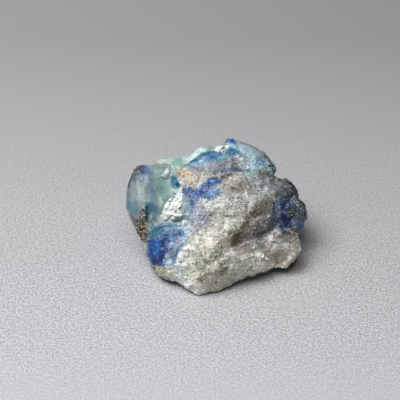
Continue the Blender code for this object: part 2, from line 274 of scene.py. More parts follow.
lightBlue = (
    ("ground", 132, 154, 163, 1, 4, (6.3, 10.8, 4), (7.7, 10.4, 6), (9.2, 9.9, 6), (10.1, 8.8, 3)),
    ("blue", 102, 136, 160, 0.7, 3, (7, 9.7, 3), (8.1, 10.3, 2.4)),
    ("pale teal", 146, 174, 182, 0.85, 3.5, (5.4, 8.3, 2), (6.7, 8.6, 3), (8.1, 9, 2)),
    ("grey, right", 132, 136, 140, 0.9, 4, (6.8, 7.2, 3), (9, 7, 4), (10.4, 6.5, 3)),
    ("olive", 122, 120, 98, 0.65, 2.5, (8.3, 8.2, 2.4), (9, 7.8, 2.2)),
    ("green black", 62, 68, 56, 0.8, 2, (9.4, 7.5, 1.8)),
)
creamPocket = (
    ("cream", 194, 191, 182, 1, 3.5, (-5.8, 6.5, 3), (-4.1, 6.7, 5), (-2.7, 7.4, 4)),
    ("grey above", 160, 156, 148, 0.8, 3, (-4.7, 8.3, 2), (-3.2, 8.1, 2.5), (-1.8, 7.9, 2)),
    ("pale below", 200, 196, 187, 0.8, 3, (-5.2, 5.6, 2), (-4, 5.5, 2)),
    ("olive above", 154, 160, 144, 0.8, 2.5, (-5.9, 9, 1.6), (-4.9, 9, 1.6)),
    ("orange", 188, 150, 118, 0.75, 3, (-6.5, 8.1, 1.6), (-5.8, 7.9, 2.4)),
    ("orange brown", 164, 108, 70, 0.8, 1.8, (-5.8, 7.6, 1.4)),
    ("pale yellow", 204, 199, 160, 0.8, 2.5, (-4.8, 7.9, 1.8), (-4.5, 7.2, 1.2)),
)
blueStrip = (
    ("strip", 92, 133, 158, 1, 2.5, (-5, 9.7, 1.8), (-3.8, 10.4, 3), (-2, 11, 4), (-0.4, 11.3, 4.6),
     (1.1, 11.2, 3.6)),
    ("dark edge", 44, 96, 132, 0.85, 2, (-4.8, 10.1, 1), (-3.6, 10.8, 1.4), (-2.2, 11.4, 1.5),
     (-0.5, 11.9, 1.4), (0.5, 11.6, 1.3)),
    ("deep", 50, 104, 150, 0.8, 2, (-1.6, 11.2, 1.8), (0, 11.3, 2)),
    ("light", 150, 188, 212, 0.8, 2, (-2.7, 10.3, 1.3), (-2.3, 10.1, 1)),
    ("under it", 118, 140, 158, 0.85, 3, (-4, 9.3, 1.8), (-1.8, 9.7, 2), (-0.4, 9.9, 2)),
    ("sage behind", 158, 186, 184, 1, 2, (-2, 12.3, 2), (-0.7, 12.6, 2), (0.2, 12.4, 1.8)),
    ("grey sage top", 146, 156, 151, 1, 2.2, (-0.7, 13, 2), (0.5, 13.4, 3), (1.8, 13.5, 3)),
    ("cream", 176, 178, 170, 0.8, 2.4, (0, 12.6, 1.8), (0.5, 13, 1.5)),
    ("crystal bed", 176, 190, 192, 0.9, 2, (0.5, 12.2, 1.6), (1.6, 12.5, 2)),
    ("teal", 104, 144, 158, 0.8, 2.5, (0.7, 10.8, 2), (1.8, 11.3, 1.8)),
    ("blue tip", 0, 70, 148, 1, 1.8, (2.1, 13.8, 1.4), (2.8, 13.8, 2.4), (3.4, 13.4, 1.2)),
    ("light below the tip", 146, 176, 196, 0.9, 2.5, (2.3, 13, 1.8), (3.6, 12.8, 2.4)),
    ("dark teal", 46, 108, 136, 0.95, 2.2, (2, 11.8, 1.5), (3.1, 11.9, 2.8), (4.1, 11.6, 1.8)),
)
shoulder = (
    ("ground", 76, 86, 92, 1, 4, (12.2, 4.9, 6), (13.3, 3.6, 12), (13.5, 1.1, 16), (13, -1.1, 10),
     (14.9, -0.4, 8), (15.1, -2, 4)),
    ("rim", 86, 88, 92, 0.85, 3, (11.7, 6.7, 1.8), (13.3, 5.8, 2.4), (14.8, 4.3, 2.6), (15.7, 2.3, 2.6),
     (15.8, 0.2, 2.4)),
    ("green grey", 92, 101, 100, 0.8, 4, (11.7, 5.6, 3), (12.6, 4.9, 4)),
    ("teal grey", 66, 86, 92, 0.85, 4, (11.3, 4, 3), (12.6, 3.8, 3)),
    ("black", 38, 46, 56, 0.8, 3, (11.7, 3.1, 1.8), (12.8, 3.4, 2.2), (13.3, 4.1, 1.5)),
    ("mid blue", 70, 92, 120, 0.85, 4, (11, 2.2, 2.5), (11.2, 0.4, 3), (11.2, -1.1, 2.5)),
    ("navy", 34, 52, 102, 1, 3.5, (12.1, 2.5, 3), (12, 1.1, 4.4), (12.4, -0.5, 5.4), (12.8, -1.6, 3.5)),
    ("deep navy", 22, 32, 86, 0.9, 2.5, (11.8, 1.6, 2.2), (12.6, -0.7, 3.2)),
    ("violet", 96, 106, 152, 0.85, 2.5, (13.5, 2.7, 2), (14.1, 2.2, 2)),
    ("green dark", 60, 72, 70, 0.85, 3, (13.9, 1.1, 2.6), (14.2, -0.4, 1.8)),
    ("light blue", 116, 138, 156, 0.75, 2.6, (14.7, 0.8, 1.4), (15.1, 0.4, 1.4)),
    ("light blue low", 112, 136, 152, 0.65, 1.8, (14.8, -0.4, 1.2)),
    ("light fleck", 120, 140, 152, 0.7, 1.5, (13.9, 3.3, 1.2)),
    ("pale", 150, 160, 176, 0.75, 2, (14, 3.4, 1.2), (14.4, 2.9, 1)),
    ("pale low", 150, 162, 172, 0.8, 3, (14.4, -1.5, 2)),
    ("low light", 126, 141, 154, 0.7, 4, (14.4, -0.5, 2.5), (15.7, -1.4, 2)),
    ("edge", 128, 136, 146, 0.75, 2.5, (15.7, 0.2, 1.4), (15.7, -1.4, 1.4)),
    ("left fleck", 126, 146, 162, 0.7, 1.6, (12.4, 0.9, 0.9)),
    ("grey left", 92, 106, 122, 0.7, 3, (11, 2.3, 1.6), (11.2, 0.9, 1.6), (11.1, -0.7, 1.6)),
    ("blue", 52, 92, 142, 0.95, 2.2, (15.1, -1.6, 2.2), (15.7, -0.7, 1.8)),
    ("teal low", 86, 136, 158, 0.8, 1.6, (15.3, -2.3, 1.4)),
    ("foot", 112, 109, 102, 0.85, 2.5, (13, -2.4, 1.4), (14.6, -2.7, 1.8)),
)
field = (
    ("ground", 146, 152, 160, 0.95, 7, (-4.3, 2, 7), (-3.1, 0.4, 8), (-3.6, -1.8, 5), (-4.9, -0.7, 5)),
    ("blue", 116, 136, 154, 0.75, 4, (-4.5, 1.4, 2.5), (-4.5, 0.5, 2.5), (-4.9, -0.2, 1.6)),
    ("violet grey", 118, 120, 140, 0.8, 4, (-2.2, 0.5, 2.6), (-2, -0.5, 2.4)),
    ("blue specks", 98, 122, 158, 0.75, 2.5, (-4.5, 1.6, 1.6), (-4.1, 0.9, 1.4), (-5.2, 0.9, 1.2)),
    ("reddish spot", 138, 120, 117, 0.7, 2.5, (-1.4, -1.4, 2), (-1.8, -2.2, 1.2)),
    ("teal grey", 120, 148, 156, 0.95, 3.5, (-5.4, 4, 2.4), (-5.2, 2.5, 3.4), (-5.4, 1.1, 2.8)),
)
blueVein = (
    ("wash", 104, 134, 168, 0.9, 5, (-5.8, 4.9, 2.4), (-4, 4.1, 4.4), (-2, 4.7, 5), (-0.4, 5.2, 3.4)),
    ("light", 58, 112, 162, 0.95, 4, (-2, 4, 2.2), (-0.7, 4.2, 2.8), (0.2, 4.3, 1.8)),
    ("periwinkle", 118, 144, 182, 0.7, 4.5, (-0.7, 5.2, 1.8), (-0.4, 5.9, 1.2)),
    ("vein", 14, 86, 156, 0.95, 3, (-5.8, 4.7, 1.8), (-4.3, 4.8, 2), (-3.2, 4.4, 3.2), (-2.2, 5.2, 3),
     (-1.6, 6.1, 2.6), (-0.4, 6.7, 2), (0.7, 6.7, 1.4)),
    ("lower arm", 20, 88, 146, 0.9, 2.6, (-4.3, 4.1, 2.2), (-3.6, 3.4, 2.4), (-4, 2.5, 1.8)),
    ("deep", 8, 60, 142, 0.9, 2, (-2.9, 4.1, 1.6), (-2.2, 4.9, 1.5), (-1.6, 5.8, 1.6), (-1.4, 6.7, 1.2)),
    ("violet", 88, 96, 144, 0.7, 2, (-5.8, 4.9, 1.6), (-5, 4.3, 1.4)),
    ("white above", 196, 200, 206, 0.8, 2, (-2.3, 7, 1.4), (-2.9, 6.5, 1.2)),
)
glassyLobe = (
    ("lobe", 139, 156, 160, 1, 2, (-13.3, 9, 9), (-14, 5.9, 13), (-14.2, 3.2, 13), (-13.7, 1.4, 8)),
    ("edge", 110, 132, 136, 0.85, 3, (-15.3, 6.5, 1.6), (-15.8, 4, 1.6), (-15.7, 2, 1.8)),
    ("dark mottle", 124, 142, 144, 0.7, 4, (-13.9, 6.7, 3), (-13.3, 5.4, 3)),
    ("pale", 156, 171, 175, 0.45, 4, (-12.6, 7, 2.4), (-11.9, 6.1, 2.4), (-13.5, 3.8, 3)),
    ("pale left", 154, 169, 172, 0.4, 4, (-14.8, 4.7, 2.4), (-14.9, 3.2, 2)),
    ("dark top", 74, 90, 100, 0.85, 4, (-14.8, 8.5, 2.5), (-14.4, 7.2, 3.5), (-13.1, 7.4, 3)),
    ("foot", 104, 144, 158, 0.85, 4, (-15.1, 2.2, 2.6), (-14.9, 1.3, 3)),
    ("valley rim", 150, 168, 163, 0.7, 3, (-11.3, 9.4, 1.6), (-10.1, 9.2, 1.8), (-7.9, 9.2, 2)),
    ("blue grey", 130, 156, 166, 0.8, 4, (-11.7, 6.1, 2.6), (-11.3, 4, 2.8), (-11.7, 2.5, 2)),
    ("green", 124, 160, 150, 0.8, 4, (-9.5, 5, 3), (-9.2, 3.2, 3), (-9.9, 1.8, 2.4)),
    ("light teal", 148, 185, 182, 0.7, 4, (-9, 6.1, 3), (-7.9, 7, 2.4)),
    ("dip", 100, 128, 122, 0.7, 4, (-9.5, 2.5, 3)),
    ("light", 184, 212, 212, 0.8, 3, (-8.4, 7.4, 2.2)),
    ("blue", 78, 116, 148, 0.75, 4, (-11.3, 2.5, 1.6), (-11, 1.1, 2)),
    ("teal", 56, 120, 142, 0.9, 3, (-12.2, 2.2, 2), (-12.1, 0.9, 2.6)),
    ("deep teal", 30, 94, 108, 0.95, 2.2, (-12.3, 0.5, 1.7), (-12.2, -0.5, 2)),
    ("violet tip", 4, 26, 86, 1, 2.6, (-13.9, 9.1, 1.6), (-13, 8.7, 2.8), (-12.6, 8.3, 1.6)),
    ("blue tip", 80, 114, 158, 0.85, 3, (-12.4, 8.6, 2), (-11.7, 8.1, 1.6)),
    ("blue below it", 110, 130, 158, 0.7, 3, (-14, 7, 1.4), (-12.4, 7.7, 1.6)),
    ("mint shelf", 188, 210, 205, 1, 2, (-10.1, 10.3, 2), (-7.9, 10.4, 3.4), (-5.4, 10.5, 3.4)),
    ("mint shelf white", 214, 228, 221, 0.8, 2, (-10.1, 10.2, 1.3), (-9.4, 10.4, 1)),
    ("shelf, green", 128, 178, 170, 0.8, 2.4, (-7.4, 9.8, 1.8), (-6.5, 10.4, 1.4), (-6.3, 9.5, 1.2)),
    ("shelf rim", 148, 162, 155, 0.85, 2, (-12.2, 9.5, 1.4), (-10.8, 9.4, 1.4), (-9, 9.4, 1.3)),
    ("mint bead", 204, 230, 226, 1, 2, (-4.6, 10.8, 1.8), (-4, 11.5, 2.8), (-3.2, 12.1, 2.6),
     (-2.3, 12.3, 1.4)),
    ("mint notch", 118, 172, 162, 0.9, 1.5, (-8.2, 8.7, 1.6)),
    ("teal spot", 0, 112, 146, 1, 2, (-7.6, 7.1, 2.4), (-7.3, 6.1, 3.8)),
    ("teal spot dark", 8, 88, 120, 0.9, 1.5, (-6.8, 6, 1.6)),
    ("white by it", 206, 214, 214, 0.8, 1, (-6.7, 7.2, 0.6), (-6.4, 6.3, 0.6)),
)
clearLobe = (
    ("clear lobe", 144, 164, 173, 1, 2.4, (4.3, 13, 4), (5.9, 12.8, 6), (7.4, 12.1, 5)),
    ("light", 162, 180, 189, 0.7, 3, (4.9, 12.6, 2), (5.9, 12.2, 2)),
    ("rim", 110, 122, 124, 0.8, 1.4, (4.5, 13.6, 0.7), (6.1, 13.3, 0.8), (7.4, 12.5, 0.9), (8.4, 11.5, 0.8)),
)
whitePile = (
    ("white pile", 226, 230, 226, 1, 1.6, (-6.3, 4.9, 1.4), (-6.8, 3.4, 2.2), (-8.1, 2.2, 3.6),
     (-8.6, 1.1, 5), (-7.4, 0.9, 4)),
    ("foot", 222, 227, 223, 0.9, 1.6, (-9.4, 0.4, 1.6), (-8.3, 0.1, 2), (-6.8, 0, 1.6)),
)
blueLobe = (
    # pale sage stone under the white pile, with painted light against the pile's shadow, strongest on the
    # arc's light patch
    ("sage arc", 166, 190, 192, 1, 3, (-12.2, -2.2, 1.8), (-11.2, -1.4, 3), (-9.4, -0.6, 3.6),
     (-7.4, -0.2, 4.2), (-5.8, 0.1, 3)),
    ("arc, dark", 132, 160, 160, 0.6, 2.4, (-11.5, -1.4, 1.4), (-9.7, -1.1, 1.4)),
    ("arc, painted light", 204, 218, 220, 0.85, 3, (-8.5, -0.2, 1.8), (-7.2, -0.2, 2.4), (-6.1, 0.5, 1.6)),
    ("arc, left", 84, 114, 124, 0.85, 3, (-12.2, -0.4, 2), (-11, -0.2, 2.4)),
    ("left rim", 98, 134, 156, 0.9, 3, (-11.9, -3.2, 2.8), (-12.1, -4.5, 2)),
    ("crown", 60, 123, 155, 1, 4, (-10.8, -2.5, 4), (-9, -2, 4), (-7.2, -2.3, 4)),
    ("crown light", 130, 168, 194, 0.75, 2.5, (-9.2, -2.8, 2), (-8.5, -3.2, 1.4), (-7.6, -1.8, 1.6)),
    ("crown blue", 44, 100, 150, 0.85, 3, (-9.7, -3.6, 2), (-7.9, -2.7, 2.2), (-6.5, -2.7, 2.6)),
    ("bluish white", 176, 200, 214, 0.95, 3, (-6.3, -1.6, 1.8), (-5.4, -1.3, 2.4), (-5.2, -2.3, 1.8)),
    ("deep blue", 0, 82, 162, 1, 3, (-9.7, -4, 4), (-11, -5, 6), (-11.1, -6.5, 6.6), (-10.6, -7.9, 4.4)),
    ("bright blue", 44, 114, 180, 0.8, 2.6, (-10.9, -6, 2.6), (-10.4, -5.2, 1.8)),
    ("dark blue", 12, 50, 124, 0.85, 2.4, (-9, -4.1, 1.6), (-9.2, -5.4, 2), (-9.7, -6.7, 2),
     (-10.3, -7.9, 2.6), (-11.3, -7.6, 1.8)),
    ("dark arm", 34, 82, 134, 0.9, 2, (-8.3, -3.6, 1.6), (-7.4, -3.3, 1.5), (-6.3, -2.8, 1.4)),
)
belowLobe = (
    ("lump", 138, 151, 167, 1, 3.5, (-7.7, -4.5, 3), (-6.7, -4.1, 3.8), (-5.8, -4, 2.4), (-6.8, -5.6, 4)),
    ("grey blue", 130, 152, 172, 1, 3.5, (-7.2, -6.5, 4.4), (-8.1, -7.6, 4.4), (-9, -8.5, 2.4),
     (-6.8, -7.4, 2.6)),
    ("blue over it", 52, 92, 136, 0.85, 3, (-8.6, -4, 2.2), (-7.2, -3.8, 2)),
    ("blue by it", 48, 86, 132, 0.8, 3, (-8.5, -5.2, 2)),
    ("violet", 82, 88, 126, 0.85, 2, (-8.6, -5, 1.5), (-8.1, -5.6, 1.1)),
    ("pale lavender", 172, 186, 205, 0.85, 2.6, (-9.2, -7.9, 1.4), (-8.5, -7, 1.6), (-8.5, -8.6, 1.8)),
    ("blue spot below", 76, 112, 156, 0.75, 2, (-8.1, -6.8, 1.2)),
    ("blue spot lower", 76, 112, 156, 0.75, 2, (-7.4, -7.9, 1.4)),
    ("blue spot right", 76, 112, 156, 0.75, 2, (-7, -6.1, 1.2)),
    ("white edge", 226, 228, 232, 1, 2, (-5.1, -5.5, 1.2), (-6.1, -6.8, 1.7), (-6.9, -8.5, 2)),
    ("lavender white", 198, 206, 216, 0.9, 3, (-6.3, -8.3, 2), (-6.5, -9.2, 2.2)),
    ("teal tint", 162, 194, 199, 0.8, 2.4, (-6.3, -9.9, 1.8)),
    ("cream foot", 226, 222, 214, 0.95, 3, (-9.5, -9.7, 2.6), (-8.6, -9.5, 2.6), (-7.9, -10.1, 2.4)),
    ("olive", 156, 157, 138, 0.95, 2.6, (-10.6, -9.2, 1.8), (-9.9, -10.3, 2)),
    ("green", 146, 158, 118, 0.8, 1.5, (-10.5, -9, 1.2)),
    ("violet", 98, 96, 118, 0.95, 2.4, (-9.4, -11.2, 1.8), (-8.6, -11.3, 2)),
    ("lilac", 178, 172, 184, 0.8, 2, (-8.7, -10.7, 1.4)),
)
crustMarks = (
    ("crust", 80, 76, 58, 0.9, 2.4, (-13.2, 0.9, 0.5), (-13.2, -0.2, 1.5), (-13.1, -1.6, 2.4),
     (-13.4, -3.2, 2.2)),
    ("red", 66, 36, 26, 0.85, 2, (-13, -1.9, 1.6)),
    ("ochre", 150, 124, 90, 0.7, 1.8, (-13.5, -3.1, 1.4), (-13.2, -4, 1.2)),
    ("olive", 96, 88, 64, 0.85, 2, (-12.7, -4.1, 1.6)),
    ("brown corner", 78, 74, 66, 0.95, 2, (-14.7, 9, 1.4), (-13.9, 9.5, 1.8)),
    ("side line", 56, 62, 62, 0.85, 1.4, (-15, 8.3, 0.7), (-15.5, 7, 0.8), (-15.8, 5.6, 0.6)),
    # painted shade: a dark line along the right edges, which turn away from the lamps
    ("painted shade, right edge", 36, 38, 44, 0.9, 1.8, (8.8, 11.2, 0.8), (10.1, 9.4, 1), (10.7, 7.6, 1), (12.8, 6.7, 1),
     (14.7, 5, 1), (15.9, 2.2, 1), (15.9, 0.4, 0.8)),
)

# In the order of painting, and how much lighter each zone is than it looks, as less light
# falls on it
zones = (
    (1.45, lowMatrix), (1, grounds), (1.2, paleBelt), (1.05, midMatrix), (1.55, ledge), (1.55, lowFoot),
    (1.2, brownBand), (2.7, pits), (0.92, upperBand), (1.2, lightBlue), (0.92, creamPocket), (1, blueStrip),
    (0.85, shoulder), (1, field), (0.75, blueVein), (0.94, glassyLobe), (1.2, clearLobe), (1, whitePile),
    (0.72, blueLobe), (1.3, belowLobe), (1, crustMarks),
)


def chanceOf(points, size, shift):
    # one random value from 0 to 1 for each grain of this size
    cells = cellsOf(points, size, shift)[0]
    return np.array([0.5 + 0.5 * noise.cell(Vector(c) * 7.31) for c in cells])


def alongPath(flatCo, path, soft, frayed=0.0):
    # 1 on a path of round dabs, falling to 0 over the softness past their rims
    path = np.array(path, float)
    best = np.full(len(flatCo), -1e9)
    steps = list(zip(path[:-1], path[1:])) or [(path[0], path[0])]
    for start, end in steps:
        run = end[:2] - start[:2]
        length2 = max(run @ run, 1e-9)
        t = np.clip(((flatCo - start[:2]) @ run) / length2, 0.0, 1.0)
        away = np.linalg.norm(flatCo - start[:2] - t[:, None] * run, axis=1)
        best = np.maximum(best, start[2] + (end[2] - start[2]) * t - away)
    return smooth(best + frayed * soft, -soft, 0.2 * soft)


def linked(name, data):
    thing = bpy.data.objects.new(name, data)
    bpy.context.scene.collection.objects.link(thing)
    return thing


def meshOf(name, bm):
    mesh = bpy.data.meshes.new(name)
    bm.to_mesh(mesh)
    bm.free()
    return mesh


def remeshedStone():
    bm = bmesh.new()
    bm.from_mesh(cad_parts["afghanite_stone"].data)
    bmesh.ops.remove_doubles(bm, verts=bm.verts[:], dist=0.001 * mm)
    piece = linked("afghaniteStone", meshOf("afghaniteStone", bm))
    fine = piece.modifiers.new("fine grid", "REMESH")
    fine.mode = "VOXEL"
    fine.voxel_size = stone["grid"] * mm
    worn = piece.modifiers.new("worn", "SMOOTH")
    worn.iterations = stone["smoothing"]
    graph = bpy.context.evaluated_depsgraph_get()
    piece.data = bpy.data.meshes.new_from_object(piece.evaluated_get(graph))
    piece.modifiers.clear()
    piece.data.name = "afghaniteStone"
    return piece


def arrayOf(rows, key):
    flat = np.empty(len(rows) * 3, np.float32)
    rows.foreach_get(key, flat)
    return flat.reshape(-1, 3).astype(float)


def surfaceOf(mesh):
    # each vertex in mm, where it lies in the view of the face, and which way it faces
    solid = arrayOf(mesh.vertices, "co") / mm
    return solid, flattened(solid), arrayOf(mesh.vertex_normals, "vector")


def glassiness(flatCo, facing, solid):
    shown = np.zeros(len(flatCo))
    for path in glassyZones:
        shown = np.maximum(shown, alongPath(flatCo, path, 0.8))
    behind = smooth(noiseOf(solid, 5.5, 31.0), 0.12, 0.3)
    return facing * shown + (1.0 - facing) * behind


def undercut(solid, normals):
    # how much the front of the underside is lifted on both sides of its foot, in mm
    right = smooth(solid[:, 0], 2.5, 7.0)
    left = smooth(-solid[:, 0], 4.0, 7.5)
    front = smooth(-solid[:, 1], 6.0, 9.5)
    low = 1.0 - smooth(solid[:, 2], 1.0, 3.0)
    under = smooth(-normals[:, 2], 0.0, 0.5)
    return stone["undercut"] * (right + 0.5 * left) * front * low * under


def carve(piece):
    noise.seed_set(stone["seed"])
    solid, flatCo, normals = surfaceOf(piece.data)
    facing = smooth(normals @ outDir, -0.45, 0.0)
    sugar = 1.0 - glassiness(flatCo, facing, solid)
    away = cellsOf(solid, stone["grain"])[1]
    domes = (stone["grainReach"] - away) * stone["grainHeight"] / stone["grainReach"]
    flakes = cellsOf(solid, stone["flake"], 7.0)[0]
    leans = np.array([noise.noise_vector(Vector(c) * 9.7).normalized() for c in flakes])
    fromMiddle = solid / stone["flake"] + np.array(shiftOf(7.0)) - flakes
    tilt = (fromMiddle * leans).sum(axis=1)
    height = sugar * (domes + tilt * stone["flake"] * stone["flakeTilt"])
    height += sugar * noiseOf(solid, stone["pitting"], 3.0) * stone["pittingHeight"]
    height += noiseOf(solid, stone["wave"], 5.0) * stone["waveHeight"]
    for depth, soft, *path in creases:
        height += facing * depth * alongPath(flatCo, path, soft)
    standing = smooth(solid[:, 2], 0.05, 0.8)  # the level underside stays as it is
    carved = solid + normals * (height * standing)[:, None]
    carved[:, 2] = np.maximum(carved[:, 2] + undercut(solid, normals), 0.0)
    piece.data.vertices.foreach_set("co", (carved * mm).astype(np.float32).ravel())
    piece.data.update()


def backColours(solid, glass):
    # the sides out of the photo's view: grey matrix with blue clouds and dark crust
    big = noiseOf(solid, 6.0, 11.0)
    small = noiseOf(solid, 1.8, 13.0)
    colours = np.tile(linear((176, 178, 170)), (len(solid), 1))
    clouds = (
        ((122, 116, 104), smooth(noiseOf(solid, 4.2, 17.0) + 0.4 * small, 0.08, 0.4), 0.8),
        ((96, 132, 172), smooth(big + 0.35 * small, 0.02, 0.25), 0.85),
        ((34, 66, 142), smooth(big + 0.45 * small, 0.2, 0.36), 0.9),
        ((72, 80, 82), smooth(noiseOf(solid, 3.4, 23.0) - 0.3 * small, 0.18, 0.42), 0.7),
        ((146, 172, 174), glass, 0.9),
    )
    for colour, mask, mix in clouds:
        colours += (linear(colour) - colours) * (mask * mix)[:, None]
    return colours


def markedColours(flatCo, solid, facing, glass):
    # the markings, with edges that wander and break up into grains
    far, farBy, near, nearBy = stone["markWander"]
    wander = np.empty((len(solid), 2))
    for axis, shift in enumerate((41.0, 47.0)):
        wander[:, axis] = farBy * noiseOf(solid, far, shift) + nearBy * noiseOf(solid, near, shift)
    spot = flatCo + wander * (1.0 - 0.6 * glass * facing)[:, None]
    grainSize, reach = stone["frayed"]
    frayed = (chanceOf(solid, grainSize, 51.0) * 2.0 - 1.0) * reach * (1.0 - 0.7 * glass)
    colours = np.tile(linear(stone["ground"]), (len(solid), 1))
    for lift, marks in zones:
        for name, red, green, blue, mix, soft, *dabs in marks:
            path = np.array(dabs) * (1.0, 1.0, brush)
            mask = alongPath(spot, path, soft * brush, frayed) * mix
            colours += (linear((red, green, blue)) * lift - colours) * mask[:, None]
    return colours


def specked(colours, solid, facing, glass):
    # white and dark specks, and grains that are lighter and darker than the next
    sugar = 1.0 - glass
    size, strength, whites, darks = stone["speckle"]
    chance = chanceOf(solid, size, 71.0)
    colours += (0.1 + 0.2 * colours) * ((chance > 1.0 - whites) * sugar)[:, None]
    colours *= 1.0 - 0.55 * ((chance < darks) * sugar)[:, None]
    strength = strength * (1.0 + 3.0 * smooth(-colours.mean(axis=1), -0.35, -0.1))  # dark zones
    shade = stone["lift"] * (1.0 + (chance - 0.5) * 2.0 * strength * (1.0 - 0.6 * glass))
    for index, (size, strength) in enumerate(stone["mottle"]):
        shade *= 1.0 + (1.0 - 0.3 * glass) * 2.0 * strength * noiseOf(solid, size, 61.0 + 5.0 * index)
    shade *= 1.0 + (chanceOf(solid, stone["grain"], 0.0) - 0.5) * 2.0 * stone["grainTint"] * sugar
    across, along = stone["streak"]
    streaks = noiseOf(solid @ faceAxes.T / (across, along, across), 1.0, 77.0)
    shade *= 1.0 + glass * facing * 0.2 * streaks
    blueness = smooth(colours[:, 2] / np.maximum(colours[:, 0], 0.01), 1.8, 3.5) * sugar
    shade *= 1.0 + 0.55 * blueness * noiseOf(solid, 0.7, 83.0)
    return np.clip(colours * shade[:, None], 0.0, 0.95)


def paint(piece):
    solid, flatCo, normals = surfaceOf(piece.data)
    facing = smooth(normals @ outDir, -0.35, 0.0)
    glass = glassiness(flatCo, facing, solid)
    hidden = backColours(solid, glass)
    shown = markedColours(flatCo, solid, facing, glass)
    colours = specked(hidden + (shown - hidden) * facing[:, None], solid, facing, glass)
    tint = piece.data.attributes.new("tint", "FLOAT_COLOR", "POINT")
    rgba = np.pad(colours, ((0, 0), (0, 1)), constant_values=1.0)
    tint.data.foreach_set("color", rgba.astype(np.float32).ravel())
    clear = piece.data.attributes.new("glass", "FLOAT", "POINT")
    clear.data.foreach_set("value", glass.astype(np.float32))
    return colours, glass


def setSockets(tree, node, values):
    for name, value in values.items():
        if isinstance(value, bpy.types.NodeSocket):
            tree.links.new(value, node.inputs[name])
        else:
            node.inputs[name].default_value = value


def nodeOf(tree, kind, inputs=None, **settings):
    node = tree.nodes.new(kind)
    for name, value in settings.items():
        setattr(node, name, value)
    setSockets(tree, node, inputs or {})
    return node


def mathOf(tree, operation, a, b):
    return nodeOf(tree, "ShaderNodeMath", {0: a, 1: b}, operation=operation).outputs[0]


def scaleOf(tree, vector, factor):
    inputs = {0: vector, "Scale": factor}
    return nodeOf(tree, "ShaderNodeVectorMath", inputs, operation="SCALE").outputs[0]


def rangeOf(tree, value, low, high, toLow=0.0, toHigh=1.0):
    inputs = {"Value": value, "From Min": low, "From Max": high, "To Min": toLow, "To Max": toHigh}
    return nodeOf(tree, "ShaderNodeMapRange", inputs, clamp=True).outputs["Result"]


def mixOf(tree, factor, a, b):
    return nodeOf(tree, "ShaderNodeMix", {0: factor, 6: a, 7: b}, data_type="RGBA").outputs[2]


def cloudsOf(tree, place, size, detail, roughness=0.5):
    inputs = {"Vector": place, "Scale": 1 / size, "Detail": detail, "Roughness": roughness}
    return nodeOf(tree, "ShaderNodeTexNoise", inputs).outputs["Fac"]


def crystalCells(tree, place, size):
    # cells of this size: how far away their middles are, and three random values for each
    cells = nodeOf(tree, "ShaderNodeTexVoronoi", {"Vector": place, "Scale": 1 / size})
    chances = nodeOf(tree, "ShaderNodeSeparateColor", {"Color": cells.outputs["Color"]})
    return cells.outputs["Distance"], chances.outputs


def bumpOf(tree, height, strength, depth):
    inputs = {"Height": height, "Strength": strength, "Distance": depth * mm}
    return nodeOf(tree, "ShaderNodeBump", inputs).outputs["Normal"]


def newMaterial(name):
    material = bpy.data.materials.new(name)
    material.use_nodes = True
    tree = material.node_tree
    place = nodeOf(tree, "ShaderNodeTexCoord").outputs["Object"]
    return material, tree, tree.nodes["Principled BSDF"], scaleOf(tree, place, 1.0 / mm)


stoneFinish = {
    "cell": 0.3,  # size of the crystal faces, a few of which get painted glints, in mm
    "fleck": 0.9,
    "powder": 0.16,
    "cloud": 1.8182,
    "paintedGlint": 0.55,  # how much lighter the painted glints make those faces' colour
    "bump": 0.08,  # mm
    "roughSugar": 0.5,
    "roughGlass": 0.42,
    "clearness": 0.2,  # how much light goes through the glassy zones
    "glow": 0.5,  # how much light spreads under the surface
    "glowReach": 0.9,
}


